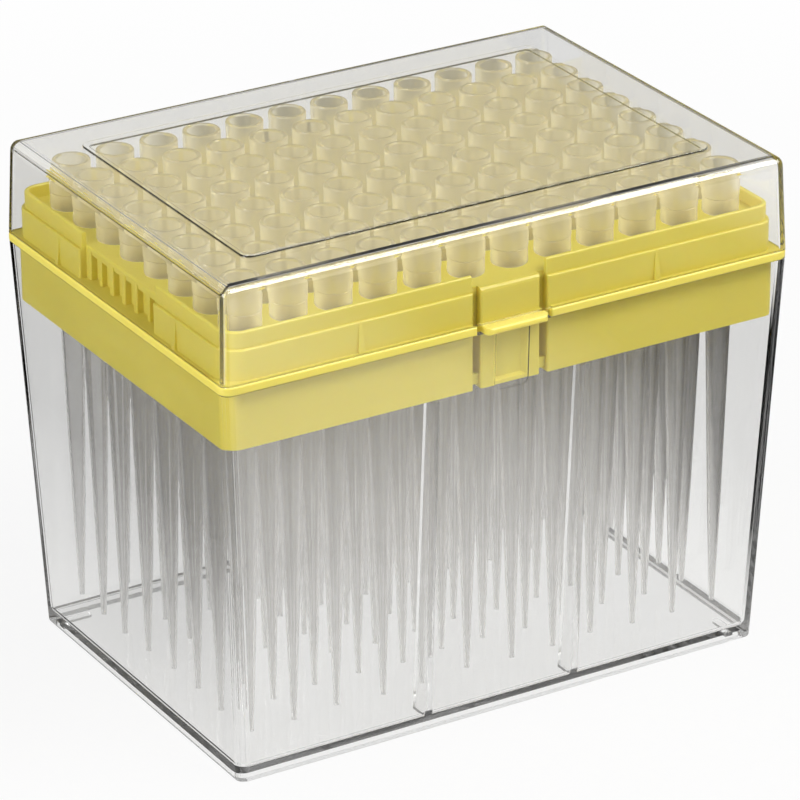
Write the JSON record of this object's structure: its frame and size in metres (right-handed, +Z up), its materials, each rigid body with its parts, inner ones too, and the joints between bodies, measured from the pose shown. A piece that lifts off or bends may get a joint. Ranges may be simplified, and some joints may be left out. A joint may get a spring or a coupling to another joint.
{
  "type": "pipette tip box",
  "caption": "Clear lidded box with a lift-out rack that holds long pipette tips upright in a rectangular grid.",
  "frame": {"origin": "middle of the underside, on the surface that the box stands on", "axes": "+X along the long side to the right, +Y to the back, +Z up; the tip grid is centred on the Z axis"},
  "size_m": [0.1174, 0.0858, 0.0978],
  "materials": {
    "clear_base": "clear, polished",
    "clear_lid": "clear, polished",
    "rack_plastic": "pale yellow, satin",
    "tip_plastic": "natural, translucent"
  },
  "bodies": {
    "base": {"base": "clear_base"},
    "rack": {"rack": "rack_plastic", "tips_column_01": "tip_plastic", "tips_column_02": "tip_plastic", "tips_column_03": "tip_plastic", "tips_column_04": "tip_plastic", "tips_column_05": "tip_plastic", "tips_column_06": "tip_plastic", "tips_column_07": "tip_plastic", "tips_column_08": "tip_plastic", "tips_column_09": "tip_plastic", "tips_column_10": "tip_plastic", "tips_column_11": "tip_plastic", "tips_column_12": "tip_plastic"},
    "lid": {"lid": "clear_lid"}
  },
  "joints": [
    {"name": "rack_lift", "type": "slide", "parent": "base", "child": "rack", "axis": [0, 0, 1], "range_m": [0, 0.075]},
    {"name": "lid_lift", "type": "slide", "parent": "rack", "child": "lid", "axis": [0, 0, 1], "range_m": [0, 0.1]}
  ]
}
